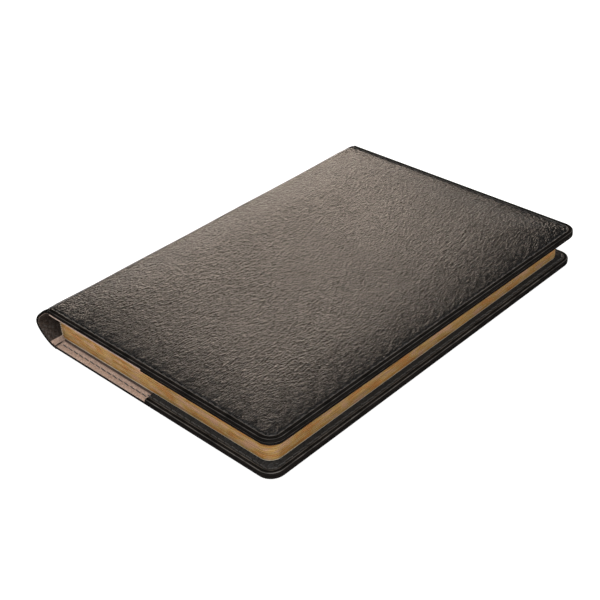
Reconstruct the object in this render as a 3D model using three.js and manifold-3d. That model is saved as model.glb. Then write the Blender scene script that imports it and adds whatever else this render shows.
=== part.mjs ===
// Prayer book: a padded leather slip cover, with pockets, over a gilt-edged inner book. Millimetres, +Z up.
// It lies on its back cover. X runs from the spine to the fore edge and Y from tail to head.
import * as THREE from "three";
import { mergeVertices } from "three/addons/utils/BufferGeometryUtils.js";
import Module from "manifold-3d";

const wasm = await Module();
wasm.setup();

// Driving dimensions, measured from the spine's outermost point, the tail edge and the table.
const COVER_W = 160;
const COVER_H = 220;
const COVER_T = 24.4;
const COVER_CORNER_R = 7.5;
const FRONT_REACH = 1.8;
const FOLD_X = 11;
const FOLD_GAP = 0.3;
const MARGIN = 4;
const MARGIN_DROP = 0.9;
const RAMP_END = 13;
const LEATHER_T = 1.7;
const STITCH_INSET = 2.5;
const THREAD_W = 0.7;
const THREAD_T = 0.35;
const THREAD_LIFT = 0.05;
const STIFFENER_Z = [2.66, 3.12];
const LINING_T = 0.25;
const POCKET_X = 79;
const POCKET_RIM_Z = 4.35;
const POCKET_Z = [4.5, 5.36];
const BOARD_Z = [3.5, 4.2];
const PASTEDOWN_Z = [4.24, 4.4];
const FLYLEAF_Z = [5.44, 5.6];
const PAGE_X = [11.6, 155];
const PAGE_Y = [5, 215];
const PAGE_CORNER_R = 6;
const SECTION_COUNT = 12;
const SECTION_GAP = 0.05;
const BLOCK_Z = [5.68, COVER_T - 5.68];
const FORE_DROP = 1.3;
const SPINE_LEATHER_T = 1.6;
const SPINE_LINING_T = 0.4;
const SPINE_PATH = [
  [10.85, 0.9], [7.6, 1.2], [4, 3.4], [1.1, 6.8], [0, 10.8],
  [1.3, 15], [4.4, 19], [7.8, 22.1], [10.85, 23.5],
];
const SPINE_STEPS = 24;
const BAND_DEPTH = 2.2;
const BAND_OUT = 0.9;
const BAND_Z = [6.2, COVER_T - 6.2];

const colours = {
  leather: 0x1b1714, thread: 0x2c2622, foam: 0x8a8478, stiffener: 0x6f6252, lining: 0xa9836b,
  inner_board: 0x3b2f28, endpaper: 0xe8dfca, gilt_paper: 0xc58f45, liner: 0xb9ad98, band: 0xd8cdb4,
};
const materials = Object.fromEntries(
  Object.entries(colours).map(([name, colour]) => [
    name, new THREE.MeshStandardMaterial({ name, color: colour, roughness: 0.6 }),
  ]),
);

const group = new THREE.Group();
group.name = "prayer_book";

function add(name, material, geometry) {
  const mesh = new THREE.Mesh(geometry, materials[material]);
  mesh.name = name;
  group.add(mesh);
}

// Joins rings of equal length into one closed body, with fan caps on the first and last ring.
function loft(rings) {
  const n = rings[0].length;
  const index = [];
  for (let r = 0; r < rings.length - 1; r++) {
    for (let j = 0; j < n; j++) {
      const a = r * n + j;
      const b = r * n + ((j + 1) % n);
      index.push(a, b, b + n, a, b + n, a + n);
    }
  }
  const last = (rings.length - 1) * n;
  for (let j = 1; j < n - 1; j++) {
    index.push(0, j + 1, j);
    index.push(last, last + j, last + j + 1);
  }
  const geometry = new THREE.BufferGeometry();
  geometry.setAttribute("position", new THREE.Float32BufferAttribute(rings.flat(2), 3));
  geometry.setIndex(index);
  return outward(geometry);
}

function signedVolume(geometry) {
  const p = geometry.getAttribute("position");
  const [a, b, c] = [new THREE.Vector3(), new THREE.Vector3(), new THREE.Vector3()];
  let total = 0;
  for (let i = 0; i < geometry.index.count; i += 3) {
    a.fromBufferAttribute(p, geometry.index.getX(i));
    b.fromBufferAttribute(p, geometry.index.getX(i + 1));
    c.fromBufferAttribute(p, geometry.index.getX(i + 2));
    total += a.dot(b.cross(c)) / 6;
  }
  return total;
}

function outward(geometry) {
  if (signedVolume(geometry) < 0) {
    const old = geometry.index.array;
    const turned = [];
    for (let i = 0; i < old.length; i += 3) turned.push(old[i], old[i + 2], old[i + 1]);
    geometry.setIndex(turned);
  }
  return geometry;
}

// Booleans: a geometry to a manifold solid, and back.
function solid(geometry) {
  const plain = geometry.clone();
  plain.deleteAttribute("normal");
  plain.deleteAttribute("uv");
  const merged = mergeVertices(plain, 1e-5);
  return new wasm.Manifold(new wasm.Mesh({
    numProp: 3,
    vertProperties: new Float32Array(merged.getAttribute("position").array),
    triVerts: new Uint32Array(merged.index.array),
  }));
}

function fromSolid(body) {
  const mesh = body.getMesh();
  const geometry = new THREE.BufferGeometry();
  geometry.setAttribute("position", new THREE.Float32BufferAttribute(mesh.vertProperties, 3));
  geometry.setIndex(Array.from(mesh.triVerts));
  return geometry;
}

function box(x, y, z) {
  const geometry = new THREE.BoxGeometry(x[1] - x[0], y[1] - y[0], z[1] - z[0]);
  return geometry.translate((x[0] + x[1]) / 2, (y[0] + y[1]) / 2, (z[0] + z[1]) / 2);
}

function cut(geometry, ...tools) {
  let body = solid(geometry);
  for (const tool of tools) body = body.subtract(solid(tool));
  return fromSolid(body);
}

const EVERYWHERE = [-50, 400];
function trimSpineSide(geometry, x) {
  return cut(geometry, box([-60, x], EVERYWHERE, EVERYWHERE));
}

// A rectangle with two rounded corners on the fore edge, counter-clockwise.
function outline([left, right], [tail, head], radius, steps = 5) {
  const points = [[left, tail]];
  for (const [cy, from] of [[tail + radius, -Math.PI / 2], [head - radius, 0]]) {
    for (let k = 0; k <= steps; k++) {
      const angle = from + (k / steps) * (Math.PI / 2);
      points.push([right - radius + radius * Math.cos(angle), cy + radius * Math.sin(angle)]);
    }
  }
  points.push([left, head]);
  return points;
}

function coverOutline(inset) {
  const radius = Math.max(COVER_CORNER_R - inset, 1.5);
  return outline([FOLD_X - MARGIN + inset, COVER_W - inset], [inset, COVER_H - inset], radius);
}

function coverStack(profile) {
  return loft(profile.map(([inset, z]) => coverOutline(inset).map(([x, y]) => [x, y, z])));
}

function pageSlab([z0, z1], inset = 0) {
  const x = [PAGE_X[0] + inset, PAGE_X[1] - inset];
  const y = [PAGE_Y[0] + inset, PAGE_Y[1] - inset];
  const points = outline(x, y, PAGE_CORNER_R - inset);
  return loft([z0, z1].map((z) => points.map(([px, py]) => [px, py, z])));
}

// The block is thinner at its fore edge, so everything above it slopes down from the spine.
function settle(geometry) {
  const p = geometry.getAttribute("position");
  for (let i = 0; i < p.count; i++) {
    const above = (p.getZ(i) - BLOCK_Z[0]) / (BLOCK_Z[1] - BLOCK_Z[0]);
    const along = (p.getX(i) - FOLD_X) / (COVER_W - FOLD_X);
    p.setZ(i, p.getZ(i) - FORE_DROP * along * THREE.MathUtils.clamp(above, 0, 1));
  }
  return geometry;
}

function toFront(geometry) {
  const turned = geometry.clone().scale(1, 1, -1).translate(0, 0, COVER_T);
  return settle(outward(turned));
}

// The front cover of the slip cover is a little wider than the back one.
function widen(geometry) {
  const stretch = 1 + FRONT_REACH / (COVER_W - FOLD_X);
  return geometry.translate(-FOLD_X, 0, 0).scale(stretch, 1, 1).translate(FOLD_X, 0, 0);
}

function threadRow(z) {
  const outer = coverOutline(STITCH_INSET - THREAD_W / 2).slice(1, -1);
  const inner = coverOutline(STITCH_INSET + THREAD_W / 2).slice(1, -1);
  const middle = outer.map((point, i) => [point, inner[i]]);
  const at = (x) => [
    [[x, outer[0][1]], [x, inner[0][1]]],
    [[x, outer.at(-1)[1]], [x, inner.at(-1)[1]]],
  ];
  const starts = [FOLD_X + 2, POCKET_X - 2, POCKET_X - 0.5].map(at);
  const stations = [
    ...starts.map((pair) => pair[0]), ...middle, ...starts.map((pair) => pair[1]).reverse(),
  ];
  return loft(stations.map(([a, b]) => {
    const low = z(a[0]);
    return [[...a, low], [...b, low], [...b, low + THREAD_T], [...a, low + THREAD_T]];
  }));
}

// One cover's layers, drawn for the back cover from the table up.
const leatherTray = trimSpineSide(coverStack([
  [RAMP_END, 0], [MARGIN, MARGIN_DROP], [0.5, MARGIN_DROP], [0, MARGIN_DROP + 0.4],
  [0, MARGIN_DROP + LEATHER_T], [MARGIN, MARGIN_DROP + LEATHER_T], [RAMP_END, LEATHER_T],
]), FOLD_X + FOLD_GAP / 2);
const foamPad = coverStack([[RAMP_END + 0.8, LEATHER_T + 0.05], [MARGIN + 2.4, STIFFENER_Z[0] - 0.07]]);
const stiffener = trimSpineSide(
  coverStack(STIFFENER_Z.map((z) => [MARGIN + 0.6, z])), FOLD_X + 3,
);
const pocketSide = box([POCKET_X - 0.4, 300], EVERYWHERE, EVERYWHERE);
const liningBottom = MARGIN_DROP + LEATHER_T + 0.05;
const liningTray = trimSpineSide(coverStack([
  [MARGIN + 0.3, STIFFENER_Z[1] + 0.05], [MARGIN - 0.3, liningBottom], [0.3, liningBottom],
  [0.3, liningBottom + LINING_T], [MARGIN - 0.5, liningBottom + LINING_T],
  [MARGIN + 0.1, STIFFENER_Z[1] + 0.05 + LINING_T],
]), FOLD_X + 1);
const liningUnderPocket = coverStack([
  [MARGIN + 0.9, STIFFENER_Z[1] + 0.05], [MARGIN + 0.9, STIFFENER_Z[1] + 0.05 + LINING_T],
]);
const lining = fromSolid(
  solid(liningTray).subtract(solid(pocketSide))
    .add(solid(trimSpineSide(liningUnderPocket, POCKET_X - 1))),
);
const pocket = trimSpineSide(coverStack([
  [MARGIN + 0.6, POCKET_Z[0]], [MARGIN + 0.3, liningBottom], [0.1, liningBottom],
  [0, POCKET_RIM_Z - 0.3], [0.4, POCKET_RIM_Z], [MARGIN, POCKET_RIM_Z], [MARGIN + 2.4, POCKET_Z[1]],
]), POCKET_X);
const outerThread = threadRow(() => MARGIN_DROP - THREAD_LIFT - THREAD_T);
const innerThread = threadRow((x) => (
  (x < POCKET_X - 1 ? liningBottom + LINING_T : POCKET_RIM_Z) + THREAD_LIFT
));
const coverLayers = [
  ["cover_leather", "leather", leatherTray],
  ["foam_pad", "foam", foamPad],
  ["stiffener", "stiffener", stiffener],
  ["lining", "lining", lining],
  ["pocket", "leather", pocket],
  ["outer_stitching", "thread", outerThread],
  ["inner_stitching", "thread", innerThread],
];
const bookLayers = [
  ["board", "inner_board", pageSlab(BOARD_Z)],
  ["pastedown", "endpaper", pageSlab(PASTEDOWN_Z, 0.8)],
  ["flyleaf", "endpaper", pageSlab(FLYLEAF_Z, 0.1)],
];
for (const [name, material, geometry] of [...coverLayers, ...bookLayers]) {
  add(`back_${name}`, material, geometry);
}
for (const [name, material, geometry] of coverLayers) {
  add(`front_${name}`, material, widen(toFront(geometry)));
}
for (const [name, material, geometry] of bookLayers) {
  add(`front_${name}`, material, toFront(geometry));
}

// The page block, as sewn sections.
const pitch = (BLOCK_Z[1] - BLOCK_Z[0]) / SECTION_COUNT;
for (let i = 0; i < SECTION_COUNT; i++) {
  const z0 = BLOCK_Z[0] + i * pitch + SECTION_GAP / 2;
  const slab = pageSlab([z0, z0 + pitch - SECTION_GAP]);
  add(`section_${String(i + 1).padStart(2, "0")}`, "gilt_paper", settle(slab));
}

// The spine: a hollow, rounded strip of leather with its lining and two rows of stitching.
const spineCurve = new THREE.SplineCurve(SPINE_PATH.map(([x, z]) => new THREE.Vector2(x, z)));
function spinePoint(k, depth) {
  const t = k / SPINE_STEPS;
  const point = spineCurve.getPoint(t);
  const tangent = spineCurve.getTangent(t);
  const atEnd = k === 0 || k === SPINE_STEPS;
  const inward = atEnd ? [0, k === 0 ? 1 : -1] : [tangent.y, -tangent.x];
  return [point.x + inward[0] * depth, point.y + inward[1] * depth];
}

function spineStrip(stations, firstStep, lastStep) {
  const rings = [];
  for (let k = firstStep; k <= lastStep; k++) {
    rings.push(stations.map(([y, depth]) => {
      const [x, z] = spinePoint(k, depth);
      return [x, y, z];
    }));
  }
  return loft(rings);
}

const END_DIP = 0.4;
const liningDepth = SPINE_LEATHER_T + 0.05;
add("spine_leather", "leather", spineStrip([
  [MARGIN * 2, 0], [COVER_H - MARGIN * 2, 0],
  [COVER_H - MARGIN, END_DIP], [COVER_H, END_DIP],
  [COVER_H, SPINE_LEATHER_T], [0, SPINE_LEATHER_T],
  [0, END_DIP], [MARGIN, END_DIP],
], 0, SPINE_STEPS));
add("spine_lining", "lining", spineStrip([
  [0.5, liningDepth], [COVER_H - 0.5, liningDepth],
  [COVER_H - 0.5, liningDepth + SPINE_LINING_T], [0.5, liningDepth + SPINE_LINING_T],
], 1, SPINE_STEPS - 1));
for (const [end, y] of [["tail", STITCH_INSET], ["head", COVER_H - STITCH_INSET]]) {
  const near = END_DIP - THREAD_LIFT;
  add(`spine_${end}_stitching`, "thread", spineStrip([
    [y - THREAD_W / 2, near - THREAD_T], [y + THREAD_W / 2, near - THREAD_T],
    [y + THREAD_W / 2, near], [y - THREAD_W / 2, near],
  ], 1, SPINE_STEPS - 1));
}

// The inner book's spine liner, and the band at each end of it.
add("spine_liner", "liner", box([PAGE_X[0] - 0.7, PAGE_X[0] - 0.3], [12, COVER_H - 12], BAND_Z));
for (const [end, y] of [["tail", PAGE_Y[0]], ["head", PAGE_Y[1] - BAND_DEPTH]]) {
  const inner = PAGE_X[0] - 0.2;
  const outer = PAGE_X[0] - BAND_OUT;
  add(`${end}band`, "band", loft(BAND_Z.map((z) => [
    [inner, y, z], [inner, y + BAND_DEPTH, z], [outer + 0.4, y + BAND_DEPTH, z],
    [outer, y + BAND_DEPTH * 0.7, z], [outer, y + BAND_DEPTH * 0.3, z], [outer + 0.4, y, z],
  ])));
}

// The origin is the middle of the bounding box's bottom face.
const bounds = new THREE.Box3().setFromObject(group);
for (const mesh of group.children) {
  mesh.geometry.translate(-(bounds.min.x + bounds.max.x) / 2, -COVER_H / 2, -bounds.min.z);
}

export default group;
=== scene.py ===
import math

import bmesh
import bpy
import numpy as np
from mathutils import Matrix, Vector


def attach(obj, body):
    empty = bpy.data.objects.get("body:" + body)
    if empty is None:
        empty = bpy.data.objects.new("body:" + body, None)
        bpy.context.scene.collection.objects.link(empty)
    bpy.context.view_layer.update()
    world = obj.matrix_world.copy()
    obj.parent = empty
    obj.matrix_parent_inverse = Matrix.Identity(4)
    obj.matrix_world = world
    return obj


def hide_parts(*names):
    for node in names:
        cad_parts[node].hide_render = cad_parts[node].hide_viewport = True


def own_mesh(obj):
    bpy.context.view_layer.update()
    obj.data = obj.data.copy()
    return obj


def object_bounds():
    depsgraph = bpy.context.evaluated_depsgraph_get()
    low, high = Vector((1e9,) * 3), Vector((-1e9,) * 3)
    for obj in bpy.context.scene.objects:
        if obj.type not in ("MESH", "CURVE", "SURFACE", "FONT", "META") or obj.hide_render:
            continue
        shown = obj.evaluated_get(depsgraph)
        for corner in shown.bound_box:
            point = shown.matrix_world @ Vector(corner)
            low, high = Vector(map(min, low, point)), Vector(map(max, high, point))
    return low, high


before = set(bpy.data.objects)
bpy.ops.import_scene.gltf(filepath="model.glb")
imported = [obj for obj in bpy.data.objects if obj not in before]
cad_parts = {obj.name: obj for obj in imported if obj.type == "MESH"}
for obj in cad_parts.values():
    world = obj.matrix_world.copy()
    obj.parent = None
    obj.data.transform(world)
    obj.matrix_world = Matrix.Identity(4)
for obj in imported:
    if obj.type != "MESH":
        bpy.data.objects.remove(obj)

CAD_BOX = [list(p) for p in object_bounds()]
LOW, HIGH = (Vector(p) * 1000 for p in CAD_BOX)

# Sizes in millimetres, in the book's own frame: x from the spine, y from the tail edge, z from the table.
# FRONT_REACH is how far the front cover passes the back one, BLOCK the pages' lowest and highest z, DROP how
# much thinner the block is at its fore edge, and TWIST how much that differs between the tail and the head.
W, H = 160.0, HIGH.y - LOW.y
T = 24.4
FRONT_REACH = 1.8
X_SHIFT = W + FRONT_REACH - HIGH.x
Y_SHIFT = -LOW.y
FOLD = 11.0
POCKET_X = 79.0
PAGE_X = (11.6, 155.0)
PAGE_Y = (5.0, 215.0)
DROP = 1.3
BLOCK = (5.68, T - 5.68)
MARGIN_Z = 0.9
LEATHER_T = 1.7
CORNER_R = 7.5
TWIST = 2.2
STITCH_INSET = 3.1
STITCH_PITCH = 4.3
WIDER = 1 + FRONT_REACH / (W - FOLD)
rng = np.random.default_rng(7)


def settled(x, z, y=H / 2, twist=0.0):
    """The height of a point once the block has settled: its fore edge is thinner, and more so at the head."""
    above = np.clip((z - BLOCK[0]) / (BLOCK[1] - BLOCK[0]), 0, 1)
    drop = DROP + twist * (np.asarray(y) / H - 0.5)
    return z - drop * (x - FOLD) / (W - FOLD) * above


def to_row(points):
    p = np.asarray(points, float).copy()
    p[..., 0] -= X_SHIFT
    p[..., 1] -= Y_SHIFT
    return p / 1000


def mesh_object(name, points, faces, material, body, node=None, clean=True):
    """points are millimetres in the book's frame."""
    mesh = bpy.data.meshes.new(name)
    mesh.from_pydata([tuple(p) for p in to_row(points)], [], [tuple(f) for f in faces])
    bm = bmesh.new()
    bm.from_mesh(mesh)
    if clean:
        bmesh.ops.remove_doubles(bm, verts=bm.verts, dist=2e-6)
        bmesh.ops.dissolve_degenerate(bm, edges=bm.edges, dist=1e-7)
    bmesh.ops.recalc_face_normals(bm, faces=bm.faces)
    bm.to_mesh(mesh)
    bm.free()
    for polygon in mesh.polygons:
        polygon.use_smooth = True
    obj = bpy.data.objects.new(name, mesh)
    bpy.context.scene.collection.objects.link(obj)
    mesh.materials.append(material)
    if body:
        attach(obj, body)
    if node:
        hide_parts(*([node] if isinstance(node, str) else node))
    return obj


def grid_faces(rows, columns, wrap_rows=False, wrap_columns=False):
    faces = []
    for r in range(rows if wrap_rows else rows - 1):
        for c in range(columns if wrap_columns else columns - 1):
            r2, c2 = (r + 1) % rows, (c + 1) % columns
            faces.append((r * columns + c, r * columns + c2, r2 * columns + c2, r2 * columns + c))
    return faces


# ---- camera ----
def place_camera():
    """Looks down at the corner between the tail and the fore edge."""
    az, el, roll = (math.radians(a) for a in (46.5, 33.376, -4.526))
    distance, aside, below = 0.568525, 0.008645, 0.007127
    back = Vector((math.sin(az) * math.cos(el), -math.cos(az) * math.cos(el), math.sin(el)))
    level = Vector((0, 0, 1)).cross(back).normalized()
    rise = back.cross(level)
    right = math.cos(roll) * level + math.sin(roll) * rise
    up = -math.sin(roll) * level + math.cos(roll) * rise
    aim = Vector((82.43 - X_SHIFT, 110.0 - Y_SHIFT, 10.37)) / 1000
    data = bpy.data.cameras.new("camera")
    data.sensor_width = 36
    data.lens = 68.5176
    data.clip_start = 0.01
    data.clip_end = 50
    camera = bpy.data.objects.new("camera", data)
    bpy.context.scene.collection.objects.link(camera)
    place = aim + back * distance - right * aside - up * below
    camera.matrix_world = Matrix.Translation(place) @ Matrix((right, up, back)).transposed().to_4x4()
    bpy.context.scene.camera = camera
    bpy.context.scene.view_settings.view_transform = "Standard"


place_camera()


# ---- materials ----
class Nodes:
    """A small builder for one material's node tree."""

    def __init__(self, name, roughness, colour, **inputs):
        self.material = bpy.data.materials.new(name)
        self.material.use_nodes = True
        self.tree = self.material.node_tree
        self.shader = self.tree.nodes["Principled BSDF"]
        self.shader.inputs["Roughness"].default_value = roughness
        self.shader.inputs["Base Color"].default_value = (*colour, 1)
        for key, value in inputs.items():
            self.shader.inputs[key.replace("_", " ")].default_value = value
        self.place = self.new("ShaderNodeTexCoord")

    def new(self, kind, **settings):
        node = self.tree.nodes.new(kind)
        for key, value in settings.items():
            if key in node.inputs:
                node.inputs[key].default_value = value
            else:
                setattr(node, key, value)
        return node

    def link(self, a, b):
        self.tree.links.new(a, b)

    def mapped(self, scale, source="Object", rotation=(0, 0, 0)):
        mapping = self.new("ShaderNodeMapping", Scale=scale, Rotation=rotation)
        self.link(self.place.outputs[source], mapping.inputs["Vector"])
        return mapping.outputs["Vector"]

    def noise(self, vector, scale, detail=4.0, rough=0.5, distortion=0.0):
        node = self.new("ShaderNodeTexNoise", Scale=scale, Detail=detail, Roughness=rough,
                        Distortion=distortion)
        self.link(vector, node.inputs["Vector"])
        return node.outputs["Fac"]

    def ramp(self, value, stops):
        node = self.new("ShaderNodeValToRGB")
        elements = node.color_ramp.elements
        while len(elements) < len(stops):
            elements.new(0.5)
        for element, (at, colour) in zip(elements, stops):
            element.position = at
            element.color = (*colour, 1) if len(colour) == 3 else colour
        self.link(value, node.inputs["Fac"])
        return node.outputs["Color"]

    def math(self, operation, a, b):
        node = self.new("ShaderNodeMath", operation=operation)
        for slot, value in zip(node.inputs, (a, b)):
            if isinstance(value, (int, float)):
                slot.default_value = value
            else:
                self.link(value, slot)
        return node.outputs[0]

    def map_range(self, value, low, high, to_low, to_high):
        node = self.new("ShaderNodeMapRange")
        self.link(value, node.inputs["Value"])
        for key, number in (("From Min", low), ("From Max", high), ("To Min", to_low), ("To Max", to_high)):
            node.inputs[key].default_value = number
        return node.outputs["Result"]

    def bump(self, height, distance, strength=1.0, below=None):
        node = self.new("ShaderNodeBump", Distance=distance, Strength=strength)
        self.link(height, node.inputs["Height"])
        if below is not None:
            self.link(below, node.inputs["Normal"])
        self.link(node.outputs["Normal"], self.shader.inputs["Normal"])
        return node.outputs["Normal"]


GRAIN_TURN = (0, 0, math.radians(-12))


def leather_material(name, colour, lit, grain=1.0, roughness=(0.28, 0.46)):
    """Creases run along the book's height over a faint pebble, and the tops of the grain are glossier."""
    m = Nodes(name, 0.45, colour)
    base = m.mapped((1, 1, 1))
    stretched = m.mapped((980, 640, 900), rotation=GRAIN_TURN)
    warp = m.new("ShaderNodeTexNoise", Scale=0.55, Detail=2.0)
    m.link(stretched, warp.inputs["Vector"])
    mixed = m.new("ShaderNodeVectorMath", operation="MULTIPLY_ADD")
    m.link(warp.outputs["Color"], mixed.inputs[0])
    mixed.inputs[1].default_value = (1.5, 1.5, 1.5)
    m.link(stretched, mixed.inputs[2])
    cells = m.new("ShaderNodeTexVoronoi", feature="DISTANCE_TO_EDGE", Scale=1.0)
    m.link(mixed.outputs[0], cells.inputs["Vector"])
    pebble = m.ramp(cells.outputs["Distance"], [(0.0, (0, 0, 0)), (0.12, (0.55,) * 3), (0.42, (1, 1, 1))])
    creases = m.noise(m.mapped((1080, 480, 600), rotation=GRAIN_TURN), 1.0, 1.5, 0.45, 0.55)
    fine = m.noise(base, 5200, 2, 0.5)
    soft = m.noise(base, 130, 3, 0.5)
    wear = m.noise(base, 22, 4, 0.6)
    # Painted light and shade: the grain's tops take the lit colour and its valleys a darker copy of the base
    # colour.
    lit_grain_tops = m.math("MULTIPLY", pebble, m.map_range(wear, 0.3, 0.7, 0.5, 1.0))
    mix = m.new("ShaderNodeMix", data_type="RGBA")
    mix.inputs["A"].default_value = (*[c * 0.55 for c in colour], 1)
    mix.inputs["B"].default_value = (*lit, 1)
    m.link(lit_grain_tops, mix.inputs["Factor"])
    m.link(mix.outputs["Result"], m.shader.inputs["Base Color"])
    worn = m.math("MULTIPLY", lit_grain_tops, m.map_range(creases, 0.38, 0.6, 0.25, 1.0))
    m.link(m.map_range(worn, 0.1, 0.8, roughness[1], roughness[0]), m.shader.inputs["Roughness"])
    n1 = m.bump(soft, 0.0012, 0.5)
    n2 = m.bump(m.map_range(creases, 0.36, 0.64, 0, 1), 0.0010 * grain, 1.0, n1)
    n3 = m.bump(pebble, 0.0002 * grain, 1.0, n2)
    m.bump(fine, 0.00003, 0.35, n3)
    return m.material


# Each leather has a base colour and a lighter lit copy, painted light on the grain's tops.
LEATHER = leather_material("leather_black", (0.006, 0.005, 0.004), (0.011, 0.0092, 0.0075))
POCKET = leather_material("pocket_leather", (0.0085, 0.007, 0.0055), (0.013, 0.011, 0.009), 0.4, (0.5, 0.7))
# Painted shade: a darker copy of the tan lining for the inside of the spine, where shade falls.
SHADED_SPINE_LINING = leather_material("lining_shaded", (0.035, 0.022, 0.015), (0.06, 0.038, 0.027), 0.35,
                                (0.5, 0.62))
LINING = leather_material("lining_tan", (0.58, 0.40, 0.31), (0.68, 0.49, 0.39), 0.3, (0.5, 0.62))


def edge_material(name, dark, light, gloss):
    m = Nodes(name, 0.5, light)
    m.shader.inputs["Specular IOR Level"].default_value = gloss
    streaks = m.noise(m.mapped((160, 160, 1500)), 1.0, 4, 0.6)
    m.link(m.ramp(streaks, [(0.35, dark), (0.65, light)]), m.shader.inputs["Base Color"])
    m.bump(streaks, 0.00012, 0.6)
    return m.material


EDGE = edge_material("edge_dye", (0.006, 0.0055, 0.005), (0.013, 0.011, 0.010), 0.0)
# Painted highlight: a lighter leather colour for thin strips beside the stitch rows, standing in for glints
# on the ridges.
PAINTED_GLINT = edge_material("painted_glint_line", (0.02, 0.018, 0.016), (0.11, 0.10, 0.088), 0.4)


def thread_material():
    m = Nodes("thread_dark", 0.5, (0.05, 0.043, 0.037), Sheen_Weight=0.4)
    twist = m.new("ShaderNodeTexWave", Scale=900.0, Distortion=0.6, wave_type="BANDS",
                  bands_direction="DIAGONAL")
    m.link(m.place.outputs["Object"], twist.inputs["Vector"])
    m.link(m.ramp(twist.outputs["Fac"], [(0.1, (0.008, 0.0065, 0.005)), (0.8, (0.03, 0.025, 0.02))]),
           m.shader.inputs["Base Color"])
    m.bump(twist.outputs["Fac"], 0.0001, 0.7)
    return m.material


THREAD = thread_material()


def gilt_material():
    """UV u runs round the block in metres, and v counts sections."""
    m = Nodes("gilt_edge", 0.34, (0.78, 0.5, 0.2), Metallic=0.5)
    m.shader.inputs["Specular IOR Level"].default_value = 0.12
    lines = m.noise(m.mapped((9, 15, 1), "UV"), 1.0, 6, 0.75)
    patches = m.noise(m.mapped((16, 0.3, 1), "UV"), 1.0, 2, 0.5)
    leaf = m.noise(m.mapped((3, 90, 1), "UV"), 1.0, 3, 0.8)
    tone = m.ramp(patches, [(0.36, (0.62, 0.28, 0.08)), (0.44, (0.58, 0.30, 0.09)),
                            (0.52, (0.62, 0.39, 0.13)), (0.62, (0.66, 0.38, 0.22))])
    across = m.new("ShaderNodeSeparateXYZ")
    m.link(m.place.outputs["UV"], across.inputs[0])
    # Painted shade: the edge is darker towards the bottom of the block, scaled by v from 0 to 12 sections.
    shade = m.math("MULTIPLY", m.map_range(lines, 0.38, 0.62, 0.25, 1.65),
                   m.map_range(across.outputs["Y"], 0, 12, 0.6, 1.15))
    gild = m.new("ShaderNodeVectorMath", operation="SCALE")
    m.link(tone, gild.inputs[0])
    m.link(shade, gild.inputs["Scale"])
    m.link(gild.outputs[0], m.shader.inputs["Base Color"])
    m.link(m.map_range(leaf, 0.3, 0.7, 0.28, 0.5), m.shader.inputs["Roughness"])
    normal = m.bump(leaf, 0.0001, 0.5)
    m.bump(lines, 0.00015, 0.4, normal)
    return m.material


def paper_material(name, colour, dark):
    m = Nodes(name, 0.75, colour)
    fibres = m.noise(m.mapped((900, 300, 900)), 1.0, 5, 0.6)
    cloud = m.noise(m.mapped((30, 30, 30)), 1.0, 3, 0.5)
    m.link(m.ramp(m.math("MULTIPLY", m.math("ADD", fibres, cloud), 0.5), [(0.3, dark), (0.65, colour)]),
           m.shader.inputs["Base Color"])
    m.bump(fibres, 0.00003, 0.5)
    return m.material


GILT = gilt_material()
PAPER = paper_material("page_paper", (0.66, 0.61, 0.51), (0.58, 0.53, 0.43))
ENDPAPER = paper_material("endpaper", (0.66, 0.59, 0.47), (0.56, 0.49, 0.37))
CARD = paper_material("stiffener_card", (0.30, 0.255, 0.2), (0.22, 0.18, 0.14))
BOARD = paper_material("inner_board", (0.085, 0.055, 0.045), (0.05, 0.034, 0.028))
MULL = paper_material("spine_mull", (0.62, 0.57, 0.47), (0.45, 0.4, 0.32))
FOAM = paper_material("foam", (0.5, 0.47, 0.42), (0.36, 0.33, 0.29))


# ---- covers ----
def u_path(inset, legs=150, corner=12, fore=206, start=FOLD + 0.01):
    """A row round a cover's tail, fore and head edges, and each point's outward direction."""
    radius = max(CORNER_R - inset, 0.35)
    right = W - inset
    points = []
    for x in np.linspace(start, right - radius, legs, endpoint=False):
        points.append((x, inset))
    for a in np.linspace(-math.pi / 2, 0, corner, endpoint=False):
        points.append((right - radius + radius * math.cos(a), inset + radius + radius * math.sin(a)))
    for y in np.linspace(inset + radius, H - inset - radius, fore, endpoint=False):
        points.append((right, y))
    for a in np.linspace(0, math.pi / 2, corner, endpoint=False):
        points.append((right - radius + radius * math.cos(a), H - inset - radius + radius * math.sin(a)))
    for x in np.linspace(right - radius, start, legs):
        points.append((x, H - inset))
    return np.array(points)


def along(points):
    step = np.linalg.norm(np.diff(points, axis=0), axis=1)
    return np.concatenate([[0], np.cumsum(step)])


def hollow(points, phase=0.0):
    """Depth of the needle holes along a stitched row, 0 to 1."""
    s = along(points) / STITCH_PITCH + phase
    return np.exp(-(((s % 1) - 0.5) / 0.13) ** 2)


def wander(x, y, k):
    """A slow, uneven wave, the same on every run."""
    return (np.sin(x * 0.071 * k + 1.3) * np.cos(y * 0.053 * k - 0.6)
            + 0.6 * np.sin(x * 0.031 * k + y * 0.047 * k + 2.1)
            + 0.35 * np.sin(y * 0.113 * k - x * 0.089 * k))


def rise(t, power=2.2):
    return 1 - (1 - np.clip(t, 0, 1)) ** power


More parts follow.
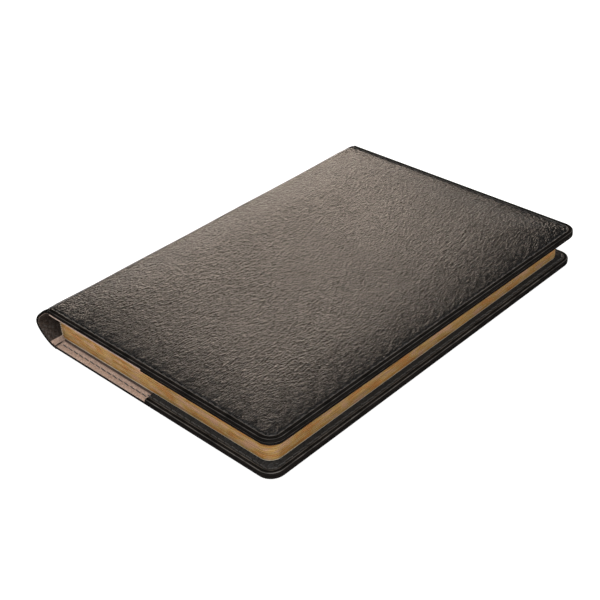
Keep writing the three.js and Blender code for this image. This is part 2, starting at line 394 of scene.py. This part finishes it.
def outer_height(inset, points, crown, edge):
    """Height of the leather's outer face above the stitched margin."""
    x, y = points[:, 0], points[:, 1]
    plump = 0.66 * rise((inset - 3.9) / 30.0, 2.0) + 0.34 * rise((inset - 3.9) / 70.0, 2.0)
    plump = plump * rise((x - FOLD) / 26.0, 1.6)
    phase = along(points) * math.pi / STITCH_PITCH + 2 * wander(x, y, 0.6)
    pucker = 0.09 * np.exp(-((inset - 6.0) / 2.6) ** 2) * np.sin(phase)
    channel = -0.42 * math.exp(-((inset - STITCH_INSET) / 0.45) ** 2)
    channel += 0.12 * math.exp(-((inset - 2.4) / 0.3) ** 2)
    holes = -0.22 * hollow(points) * math.exp(-((inset - STITCH_INSET) / 0.55) ** 2)
    nose = -edge * (1 - min(inset / 0.8, 1)) ** 2.2
    waves = 0.06 * wander(x, y, 1.0) * rise((inset - 6) / 20)
    sewn = (pucker + channel + holes) * rise((x - FOLD) / 3.0)
    return crown * plump + sewn + waves * rise((x - FOLD) / 10) + nose


OUTER_ROWS = [
    0.08, 0.2, 0.4, 0.62, 0.9, 1.3, 1.7, 2.0, 2.25, 2.6, 2.8, 2.95, 3.1, 3.25, 3.45, 3.7, 4.0, 4.5, 5.1,
    5.8, 6.6, 7.5, 8.6, 9.9, 11.4, 13.2, 15.4, 18, 22, 27, 33, 41, 50, 60, 72, 85, 97, 105, 110]


def place(points, z, front, wide=True):
    """Lays a row at height z above a cover's outer side, for the back cover or turned over for the front."""
    z = np.broadcast_to(np.asarray(z, float), len(points)).copy()
    x, y = points[:, 0], points[:, 1]
    if front:
        z = settled(x, T - z, y, TWIST)
        if wide:
            x = FOLD + (x - FOLD) * WIDER
    return np.column_stack([x, y, z])


def inset_of(point, front):
    """How far inside a cover's edge a point in the row frame lies, in millimetres."""
    x, y = point.x * 1000 + X_SHIFT, point.y * 1000 + Y_SHIFT
    if front:
        x = FOLD + (x - FOLD) / WIDER
    y = min(y, H - y)
    dx, dy = x - (W - CORNER_R), CORNER_R - y
    if dx > 0 and dy > 0:
        return CORNER_R - math.hypot(dx, dy)
    return min(W - x, y)


def mark_lines(obj, front, lines, dark_to=None):
    """Lighter lines at the given insets, painted highlights that stand in for glints on the stitched ridges,
    and dark dye outside them.
    """
    obj.data.materials.append(PAINTED_GLINT)
    obj.data.materials.append(EDGE)
    for polygon in obj.data.polygons:
        inset = inset_of(polygon.center, front)
        upper = abs(polygon.normal.z) > 0.3
        if upper and any(a < inset < b for a, b in lines):
            polygon.material_index = 1
        elif dark_to is not None and inset < dark_to:
            polygon.material_index = 2
    return obj


def cover_leather(front):
    crown, edge, hem = (2.5, 0.45, 2.58) if front else (0.86, 0.75, 2.58)
    rows = []
    for inset in (110, 80, 50, 25, 14, 8, 4, 0.7):
        z = MARGIN_Z + LEATHER_T - 0.85 * rise((inset - 4) / 9)
        rows.append(place(u_path(inset), z, front))
    for inset, z in ((0.55, hem), (0.2, hem - 0.03), (0.0, hem - 0.2), (0.0, 2.2)):
        rows.append(place(u_path(inset), z, front))
    for inset in OUTER_ROWS:
        points = u_path(inset)
        rows.append(place(points, MARGIN_Z - outer_height(inset, points, crown, edge), front))
    n, m = len(rows), len(rows[0])
    faces = grid_faces(n, m)
    for column in (0, m - 1):
        for r in range(7):
            a, b = r * m + column, (r + 1) * m + column
            c, d = (n - 1 - r) * m + column, (n - 2 - r) * m + column
            faces.append((a, b, d, c))
        faces.append([r * m + column for r in range(7, n - 7)])
    side = "front" if front else "back"
    obj = mesh_object(f"{side}_leather", np.concatenate(rows), faces, LEATHER, f"{side}_cover",
                      f"{side}_cover_leather")
    # The lighter strips at these insets are painted highlights.
    return mark_lines(obj, front, [(0.4, 0.62), (2.25, 2.6)], 2.7)


def stitches(name, centres, directions, ups, body, node, length=3.4, width=0.5, height=0.34, sink=0.22,
             dive=0.28):
    """One slim capsule of thread per stitch, slightly slanted, in one mesh."""
    ring, along_n = 8, 9
    points, faces = [], []
    for c, d, u in zip(centres, directions, ups):
        side = np.cross(d, u)
        d = d + side * 0.10
        base = len(points)
        for i in range(along_n):
            t = -1 + 2 * i / (along_n - 1)
            plump = math.sqrt(max(1 - abs(t) ** 3.2, 0.02))
            drop = dive * abs(t) ** 4
            for k in range(ring):
                a = 2 * math.pi * k / ring
                points.append(c + d * t * length / 2 + side * math.cos(a) * width / 2 * plump
                              + u * (math.sin(a) * height / 2 * plump - drop - sink))
        faces += [tuple(base + v for v in f) for f in grid_faces(along_n, ring, wrap_columns=True)]
        faces.append([base + k for k in range(ring)])
        faces.append([base + (along_n - 1) * ring + k for k in range(ring)])
    return mesh_object(name, points, faces, THREAD, body, node)


def row_stitches(front, inner):
    points = u_path(STITCH_INSET, 300, 40, 420, start=FOLD + 1.0)
    s = along(points)
    count = int(s[-1] / STITCH_PITCH)
    at = (np.arange(count) + 0.5) * STITCH_PITCH + (s[-1] - count * STITCH_PITCH) / 2
    xy = np.column_stack([np.interp(at, s, points[:, 0]), np.interp(at, s, points[:, 1])])
    ahead = np.column_stack([np.interp(at + 0.4, s, points[:, 0]), np.interp(at + 0.4, s, points[:, 1])]) - xy
    if inner:
        z = np.where(xy[:, 0] < POCKET_X - 0.2, 2.91, 4.34) + 0.10
        up = np.array([0, 0, 1.0])
    else:
        z = np.full(count, 0.9 + 0.14)
        up = np.array([0, 0, -1.0])
    centres = place(xy, z, front)
    slope = place(xy + ahead, z, front) - centres
    directions = slope / np.linalg.norm(slope, axis=1)[:, None]
    if front:
        up = -up
    side = "front" if front else "back"
    which = "inner" if inner else "outer"
    shape = {"length": 4.2, "width": 0.62, "sink": 0.04, "dive": 0.06} if inner else {}
    return stitches(f"{side}_{which}_stitches", centres, directions, [up] * count, f"{side}_cover",
                    f"{side}_{which}_stitching", **shape)


def slab(name, rows, material, body, node):
    """A closed sheet from rows of equal length that start and end on the middle line."""
    n, m = len(rows), len(rows[0])
    faces = grid_faces(n, m)
    for column in (0, m - 1):
        for r in range(n // 2):
            a, b = r * m + column, (r + 1) * m + column
            c, d = (n - 1 - r) * m + column, (n - 2 - r) * m + column
            if len({a, b, c, d}) > 2 and b != d:
                faces.append((a, b, d, c))
            elif b == d:
                faces.append((a, b, c))
    return mesh_object(name, np.concatenate(rows), faces, material, body, node)


def lining(front):
    side = "front" if front else "back"
    low = [(110, 3.18), (60, 3.18), (20, 3.18), (8, 3.18), (4.5, 3.17), (3.4, 2.66), (0.4, 2.64),
           (0.27, 2.68)]
    lip = 0.62 if front else 0.0
    high = [(0.24, 2.82 + lip), (0.5, 2.9 + lip), (1.3, 2.96 + lip * 0.5), (2.1, 2.94), (2.7, 2.88),
            (3.1, 2.84), (3.5, 2.92), (4.2, 3.3), (4.6, 3.43), (8, 3.44), (20, 3.44), (60, 3.44),
            (110, 3.44)]
    rows = []
    for inset, z in low + high:
        points = u_path(inset, 110, 4, 30, start=FOLD + 0.1)
        wave = 0.03 * wander(points[:, 0], points[:, 1], 2.0) if inset > 4.5 else 0
        points[:, 0] = np.minimum(points[:, 0], POCKET_X - 0.4)
        rows.append(place(points, z + wave, front))
    return slab(f"{side}_lining_skin", rows, LINING, f"{side}_cover", f"{side}_lining")


def pocket(front):
    side = "front" if front else "back"
    low = [(110, 4.52), (60, 4.52), (20, 4.52), (8, 4.52), (4.6, 4.48), (4.3, 2.68), (0.6, 2.66),
           (0.15, 2.74)]
    high = [(0.0, 3.0), (0.0, 3.5), (0.08, 3.85), (0.3, 4.12), (0.65, 4.3), (1.2, 4.38), (1.9, 4.4),
            (2.3, 4.38), (2.7, 4.24), (2.95, 4.12), (3.1, 4.1), (3.25, 4.12), (3.6, 4.26),
            (4.1, 4.44), (4.7, 4.7), (5.4, 5.05), (6.5, 5.28), (9, 5.36), (14, 5.36), (25, 5.36),
            (45, 5.36), (70, 5.36), (95, 5.36), (110, 5.36)]
    rows = []
    for inset, z in low + high:
        points = u_path(inset, 90, 12, 206, start=POCKET_X)
        points[:, 0] = np.maximum(points[:, 0], POCKET_X)
        if 2 < inset < 4.5:
            z = z - 0.12 * hollow(points, 0.2) * math.exp(-((inset - STITCH_INSET) / 0.5) ** 2)
        rows.append(place(points, z, front))
    obj = slab(f"{side}_pocket_flap", rows, POCKET, f"{side}_cover", f"{side}_pocket")
    # The lighter strips at these insets are painted highlights.
    return mark_lines(obj, front, [(0.3, 0.65), (1.9, 2.3)], 1.9)


# ---- page block ----
def page_outline(inset, corner=10):
    x0, x1 = PAGE_X[0] + inset, PAGE_X[1] - inset
    y0, y1 = PAGE_Y[0] + inset, PAGE_Y[1] - inset
    r = 6.5 - inset
    points = [(x, y0) for x in np.linspace(x0 + 0.4, x1 - r, 26, endpoint=False)]
    points += [(x1 - r + r * math.cos(a), y0 + r + r * math.sin(a))
               for a in np.linspace(-math.pi / 2, 0, corner, endpoint=False)]
    points += [(x1, y) for y in np.linspace(y0 + r, y1 - r, 34, endpoint=False)]
    points += [(x1 - r + r * math.cos(a), y1 - r + r * math.sin(a))
               for a in np.linspace(0, math.pi / 2, corner, endpoint=False)]
    points += [(x, y1) for x in np.linspace(x1 - r, x0 + 0.4, 27)]
    points += [(x0, y) for y in np.linspace(y1 - 0.5, y0 + 0.5, 12)]
    return np.array(points)


def page_cap(first):
    """Strips from the tail to the head over a page outline whose points start at the given index."""
    strips = [(k, k + 1, 105 - k, 106 - k) for k in range(25)]
    strips += [list(range(25, 82)), [0] + list(range(106, 119))]
    return [[first + c for c in strip] for strip in strips]


PITCH = (BLOCK[1] - BLOCK[0]) / 12
LEAVES = 6


def section(i):
    """One sewn section: its leaves' edges stand a little in and out, and its fold is rounded."""
    z0 = BLOCK[0] + i * PITCH + 0.025
    z1 = z0 + PITCH - 0.05
    rows = []
    leaf = (z1 - z0) / LEAVES
    for k in range(LEAVES):
        shift = rng.uniform(0.0, 0.10)
        for t, inset in ((0.06, 0.05), (0.3, 0.0), (0.7, 0.0), (0.94, 0.05)):
            rows.append((z0 + (k + t) * leaf, shift + inset))
    outlines = []
    for z, inset in rows:
        points = page_outline(inset)
        fold = points[:, 0] < PAGE_X[0] + 0.6 + inset
        middle = abs((z - z0) / (z1 - z0) * 2 - 1)
        points[fold, 0] += 0.35 * (1 - math.sqrt(max(1 - middle ** 2.5, 0)))
        heights = settled(points[:, 0], np.full(len(points), z), points[:, 1], TWIST)
        outlines.append(np.column_stack([points, heights]))
    n, m = len(outlines), len(outlines[0])
    faces = grid_faces(n, m, wrap_columns=True)
    inner = []
    for row in (0, n - 1):
        outline = outlines[row].copy()
        centre = np.array([sum(PAGE_X) / 2, H / 2, 0])
        ring = outline.copy()
        ring[:, :2] = centre[:2] + (outline[:, :2] - centre[:2]) * 0.97
        ring[:, 2] = settled(ring[:, 0], np.full(m, z0 if row == 0 else z1), ring[:, 1], TWIST)
        inner.append(ring)
    points = np.concatenate(outlines + inner)
    for edge, ring in ((0, n), (n - 1, n + 1)):
        for c in range(m):
            c2 = (c + 1) % m
            faces.append((edge * m + c, edge * m + c2, ring * m + c2, ring * m + c))
        faces += page_cap(ring * m)
    name = f"section_{i + 1:02d}"
    body = "back_cover" if i == 0 else "upper_block" if i == 11 else name
    obj = mesh_object(f"pages_{i + 1:02d}", points, faces, GILT, body, name, clean=False)
    obj.data.materials.append(PAPER)
    uv = obj.data.uv_layers.new(name="edge")
    round_block = np.append(along(outlines[0]), 0)
    for polygon in obj.data.polygons:
        on_rows = [v // m for v in polygon.vertices]
        columns = [v % m for v in polygon.vertices]
        flat = max(on_rows) >= n
        fold = min(columns) >= m - 12
        polygon.material_index = 1 if flat or fold else 0
        polygon.use_smooth = not flat
        for loop, row, column in zip(polygon.loop_indices, on_rows, columns):
            u = round_block[column] / 1000 * 6
            v = i + (rows[row][0] - z0) / PITCH if row < n else i
            uv.data[loop].uv = (u, v)
    return obj


def leaf_sheet(name, z0, z1, inset, material, body, node, front):
    rows = []
    for z, more in ((z0, 0.03), ((z0 + z1) / 2, 0.0), (z1, 0.03)):
        points = page_outline(inset + more)
        rows.append(place(points, z, front, wide=False))
    n, m = len(rows), len(rows[0])
    faces = grid_faces(n, m, wrap_columns=True) + page_cap(0) + page_cap((n - 1) * m)
    return mesh_object(name, np.concatenate(rows), faces, material, body, node)


# Rows at (inset, z), from a piece's inner face round its edge to its outer face.
PAD_ROWS = [(110, 2.58), (14, 2.57), (7.2, 2.54), (7.0, 2.45), (8.2, 2.2), (11, 1.9), (14.5, 1.76),
            (22, 1.74), (60, 1.74), (110, 1.74)]
CARD_ROWS = [(110, 3.1), (5.0, 3.1), (4.65, 3.06), (4.65, 2.7), (5.0, 2.66), (110, 2.66)]


def board_slab(name, profile, material, body, node, front, start):
    """A board or pad whose edge follows the cover's tail, fore and head edges."""
    rows = []
    for inset, height in profile:
        points = u_path(inset, 60, 8, 70, start=start)
        points[:, 0] = np.maximum(points[:, 0], start)
        rows.append(place(points, height, front))
    return slab(name, rows, material, body, node)


# ---- spine ----
SPINE = [(10.99, 0.9), (7.6, 1.2), (4.0, 3.4), (1.1, 6.8), (0.0, 10.8), (1.3, 15.0), (4.4, 19.0), (7.8, 22.1),
         (10.99, 23.5)]


def catmull(points, count):
    p = np.array(points, float)
    p = np.vstack([2 * p[0] - p[1], p, 2 * p[-1] - p[-2]])
    out = []
    for k in range(count):
        t = k / (count - 1) * (len(p) - 3)
        i = min(int(t), len(p) - 4)
        u = t - i
        a, b, c, d = p[i:i + 4]
        out.append(0.5 * (2 * b + (c - a) * u + (2 * a - 5 * b + 4 * c - d) * u ** 2
                          + (3 * b - 3 * c + d - a) * u ** 3))
    return np.array(out)


SPINE_LINE = catmull(SPINE, 73)
tangent = np.gradient(SPINE_LINE, axis=0)
tangent /= np.linalg.norm(tangent, axis=1)[:, None]
SPINE_IN = np.column_stack([tangent[:, 1], -tangent[:, 0]])
SPINE_IN[0] = (0, 1)
SPINE_IN[-1] = (0, -1)


def flared(xz, y):
    """The skin's ends, cut free of the block, spread outwards."""
    end = math.exp(-(min(y, H - y) / 24) ** 2)
    shifted = xz.copy()
    shifted[:, 0] -= 2.9 * end * np.exp(-((xz[:, 1] - 12.5) / 8) ** 2)
    return shifted


def tube(rows):
    """Faces of a skin whose rows close into a loop, with both its long edges filled."""
    n, m = len(rows), len(rows[0])
    faces = grid_faces(n, m, wrap_rows=True)
    faces.append([r * m for r in range(n)])
    faces.append([r * m + m - 1 for r in range(n)])
    return faces


SPINE_END = [0.12, 0.35, 0.7, 1.1, 1.6, 2.0, 2.3, 2.6, 2.9, 3.2, 3.6, 4.2, 5.0, 6, 7.5, 9.5, 12, 16]


def spine_leather():
    """The outer face in detail from tail to head, then back along the plain inner face."""
    rows = []
    s = along(SPINE_LINE)
    for y in SPINE_END + list(np.linspace(22, H - 22, 45)) + [H - y for y in reversed(SPINE_END)]:
        d = min(y, H - y)
        dip = 0.25 - 0.35 * rise((d - 3.7) / 10, 2.2)
        dip += 0.30 * math.exp(-((d - STITCH_INSET) / 0.5) ** 2)
        dip -= 0.12 * math.exp(-((d - 1.1) / 0.6) ** 2)
        dip += 0.35 * (1 - rise(d / 0.5, 2))
        near_fold = np.minimum(s, s[-1] - s)
        depth = dip * rise(near_fold / 2.5) + 0.06 * np.sin(y * 0.09 + s * 0.4) * rise(near_fold / 4)
        holes = 0.2 * np.exp(-((((s / STITCH_PITCH) % 1) - 0.5) / 0.13) ** 2)
        depth = depth + holes * math.exp(-((d - STITCH_INSET) / 0.55) ** 2) * rise(near_fold / 3)
        xz = flared(SPINE_LINE + SPINE_IN * depth[:, None], y)
        rows.append(np.column_stack([xz[:, 0], np.full(len(xz), y), xz[:, 1]]))
    for y in (H, H - 0.05, H - 0.5, H - 4, H / 2, 4, 0.5, 0.05, 0):
        depth = 1.6 if 0.2 < y < H - 0.2 else 1.55 if 0 < y < H else 1.4
        xz = flared(SPINE_LINE + SPINE_IN * depth, y)
        rows.append(np.column_stack([xz[:, 0], np.full(len(xz), y), xz[:, 1]]))
    obj = mesh_object("spine_skin", np.concatenate(rows), tube(rows), LEATHER, "spine",
                      "spine_leather")
    obj.data.materials.append(EDGE)
    for polygon in obj.data.polygons:
        end = H / 2 - abs(polygon.center.y * 1000)
        polygon.material_index = 1 if end < 2.7 else 0
    return obj


def spine_lining():
    rows = []
    ys = [0.45, 0.4, 0.7, 2, 2.6, 3.2] + list(np.linspace(6, H - 6, 30))
    ys += [H - 3.2, H - 2.6, H - 2, H - 0.7, H - 0.5]
    line, inward = SPINE_LINE[1:-1], SPINE_IN[1:-1]
    for y in ys:
        xz = flared(line + inward * 2.02, y)
        rows.append(np.column_stack([xz[:, 0], np.full(len(xz), y), xz[:, 1]]))
    for y in (H - 0.5, H / 2, 0.5):
        xz = flared(line + inward * 1.66, y)
        rows.append(np.column_stack([xz[:, 0], np.full(len(xz), y), xz[:, 1]]))
    obj = mesh_object("spine_inner_skin", np.concatenate(rows), tube(rows), SHADED_SPINE_LINING, "spine",
                      "spine_lining")
    obj.data.materials.append(LINING)
    # Painted shade: the lowest faces and the ends keep the tan lining, and the rest of the inner skin gets
    # the darker shaded copy.
    for polygon in obj.data.polygons:
        low = polygon.center.z < 0.0036
        polygon.material_index = 1 if low or abs(polygon.normal.y) > 0.7 else 0
    return obj


def spine_stitches(end):
    y = STITCH_INSET if end == "tail" else H - STITCH_INSET
    s = along(SPINE_LINE)
    count = int(s[-1] / STITCH_PITCH)
    at = (np.arange(count) + 0.5) * STITCH_PITCH + (s[-1] - count * STITCH_PITCH) / 2
    line = [np.interp(at, s, SPINE_LINE[:, k]) for k in (0, 1)]
    ahead = [np.interp(at + 0.3, s, SPINE_LINE[:, k]) for k in (0, 1)]
    inward = np.column_stack([np.interp(at, s, SPINE_IN[:, k]) for k in (0, 1)])
    inward /= np.linalg.norm(inward, axis=1)[:, None]
    centres = flared(np.column_stack(line) + inward * 0.62, y)
    centres = [np.array([x, y, z]) for x, z in centres]
    directions = []
    for x, z, ax, az in zip(*line, *ahead):
        d = np.array([ax - x, 0, az - z])
        directions.append(d / np.linalg.norm(d))
    ups = [np.array([-i[0], 0, -i[1]]) for i in inward]
    return stitches(f"spine_{end}_stitches", centres, directions, ups, "spine", f"spine_{end}_stitching")


def band(end):
    """A woven band over a rolled core, with a coloured thread wound at every step."""
    y0 = 5.0 if end == "tail" else H - 5.0 - 2.2
    rows = []
    turns = 17
    steps = turns * 6
    for k in range(steps + 1):
        z = 6.25 + (T - 12.5) * k / steps
        wound = 0.05 * math.sin(2 * math.pi * turns * k / steps)
        ring = []
        for a in np.linspace(0, 2 * math.pi, 14, endpoint=False):
            ring.append((11.06 + (0.28 + wound) * math.cos(a), y0 + 1.1 + (1.02 + wound) * math.sin(a), z))
        rows.append(np.array(ring))
    faces = grid_faces(len(rows), 14, wrap_columns=True)
    faces += [list(range(14)), [steps * 14 + c for c in range(14)]]
    m = Nodes(f"{end}band_weave", 0.6, (0.7, 0.62, 0.48), Sheen_Weight=0.3)
    wave = m.new("ShaderNodeTexWave", Scale=240.0, Distortion=0.2, wave_type="BANDS", bands_direction="Z")
    m.link(m.place.outputs["Object"], wave.inputs["Vector"])
    m.link(m.ramp(wave.outputs["Fac"], [(0.45, (0.16, 0.10, 0.05)), (0.55, (0.42, 0.33, 0.22))]),
           m.shader.inputs["Base Color"])
    m.bump(wave.outputs["Fac"], 0.0001, 0.5)
    return mesh_object(f"{end}band_weave", np.concatenate(rows), faces, m.material, "spine",
                       f"{end}band")


for is_front in (False, True):
    label = "front" if is_front else "back"
    cover = f"{label}_cover"
    cover_leather(is_front)
    row_stitches(is_front, False)
    row_stitches(is_front, True)
    lining(is_front)
    pocket(is_front)
    pad = board_slab(f"{label}_padding", PAD_ROWS, FOAM, cover, f"{label}_foam_pad", is_front,
                     FOLD + 9.5)
    board_slab(f"{label}_card", CARD_ROWS, CARD, cover, f"{label}_stiffener", is_front,
               FOLD + 3.1)
    leaf_sheet(f"{label}_inner_board", 3.51, 4.19, 0.0, BOARD, cover, f"{label}_board",
               is_front)
    leaf_sheet(f"{label}_pastedown_sheet", 4.24, 4.4, 0.8, ENDPAPER, cover,
               f"{label}_pastedown", is_front)
    leaf_sheet(f"{label}_flyleaf_sheet", 5.44, 5.6, 0.1, ENDPAPER, "upper_block" if is_front else cover,
               f"{label}_flyleaf", is_front)
for number in range(12):
    section(number)
skin = [spine_leather(), spine_lining(), spine_stitches("tail"), spine_stitches("head")]
for piece in skin:
    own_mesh(piece)
band("tail")
band("head")
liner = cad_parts["spine_liner"]
liner.data.materials.clear()
liner.data.materials.append(MULL)


# ---- floor and light ----
def studio():
    floor_mesh = bpy.data.meshes.new("floor")
    size = 6.0
    floor_mesh.from_pydata([(-size, -size, -0.0004), (size, -size, -0.0004), (size, size, -0.0004),
                            (-size, size, -0.0004)], [], [(0, 1, 2, 3)])
    floor = bpy.data.objects.new("floor", floor_mesh)
    bpy.context.scene.collection.objects.link(floor)
    pale = Nodes("floor_pale", 0.9, (0.5, 0.5, 0.5), Emission_Strength=0.85)
    pale.shader.inputs["Emission Color"].default_value = (1, 1, 1, 1)
    floor_mesh.materials.append(pale.material)
    world = bpy.data.worlds.new("studio")
    bpy.context.scene.world = world
    world.use_nodes = True
    world.node_tree.nodes["Background"].inputs["Color"].default_value = (1, 1, 1, 1)
    world.node_tree.nodes["Background"].inputs["Strength"].default_value = 0.06

    def area(name, place, target, size, power, colour=(1, 1, 1)):
        data = bpy.data.lights.new(name, "AREA")
        data.shape = "RECTANGLE"
        data.size, data.size_y = size
        data.energy = power
        data.color = colour
        light = bpy.data.objects.new(name, data)
        bpy.context.scene.collection.objects.link(light)
        light.location = place
        light.rotation_euler = (Vector(target) - Vector(place)).to_track_quat("-Z", "Y").to_euler()

    warm = (1.0, 0.83, 0.69)
    area("key", (0.8, -0.75, 1.35), (0, 0, 0), (1.2, 1.2), 34)
    area("window", (-0.565, 0.42, 0.10), (-0.04, 0.05, 0.02), (0.5, 0.12), 2.2, warm)


studio()
